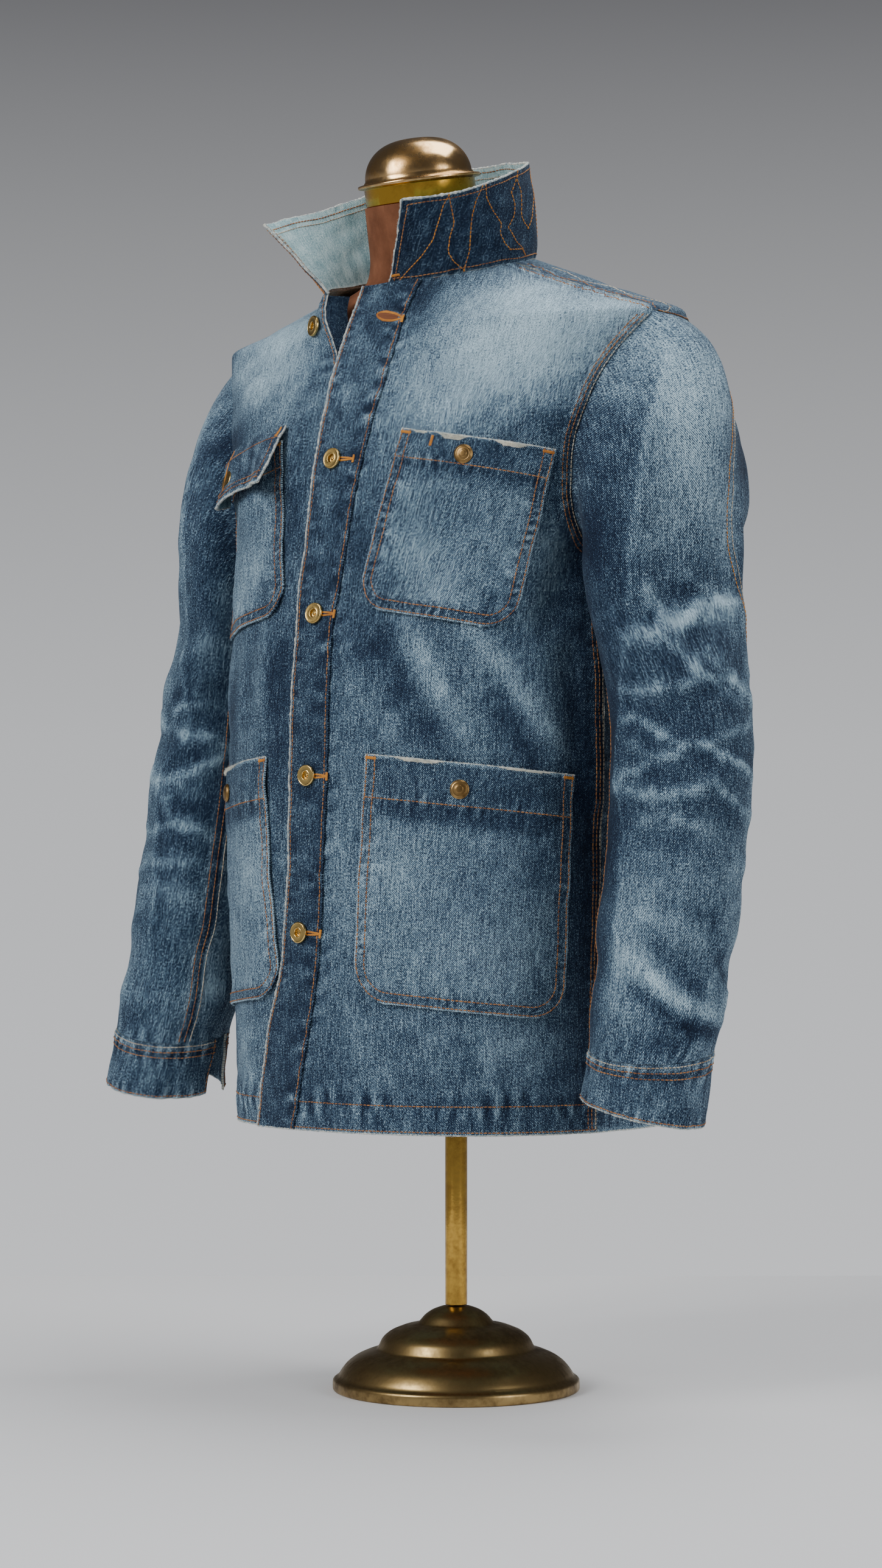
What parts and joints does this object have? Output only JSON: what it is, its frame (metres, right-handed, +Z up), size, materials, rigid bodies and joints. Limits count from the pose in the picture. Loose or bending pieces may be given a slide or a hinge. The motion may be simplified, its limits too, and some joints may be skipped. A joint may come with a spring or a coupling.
{
  "type": "denim jacket on a limbless dress form",
  "caption": "Denim work jacket with a turned-up collar and patch pockets, buttoned on a limbless dress form that stands on a pole and a round base.",
  "frame": {"origin": "middle of the base's flat underside, on the pole's axis", "axes": "+Z up; the wearer faces -Y and the wearer's left is +X"},
  "size_m": [0.6356, 0.3413, 1.052],
  "materials": {
    "denim": "washed indigo denim, faded on the shoulders and elbows",
    "jersey": "fine ribbed brown jersey",
    "fitting_brass": "worn brass",
    "cap_brass": "polished brass",
    "pole_brass": "polished brass",
    "base_brass": "aged dark brass"
  },
  "bodies": {
    "root": {"back": "denim", "front_left": "denim", "front_right": "denim", "sleeve_left": "denim", "sleeve_right": "denim", "cuff_left": "denim", "cuff_right": "denim", "collar": "denim", "placket_left": "denim", "pocket_chest_left": "denim", "pocket_chest_right": "denim", "pocket_lower_left": "denim", "pocket_lower_right": "denim", "flap_chest_right": "denim", "button_1": "fitting_brass", "button_2": "fitting_brass", "button_3": "fitting_brass", "button_4": "fitting_brass", "button_neck": "fitting_brass", "button_neck_back": "fitting_brass", "snap_chest_left": "fitting_brass", "snap_lower_left": "fitting_brass", "snap_lower_right": "fitting_brass", "form_torso": "jersey", "neck_cap": "cap_brass", "stand_pole": "pole_brass", "stand_base": "base_brass"}
  },
  "joints": []
}
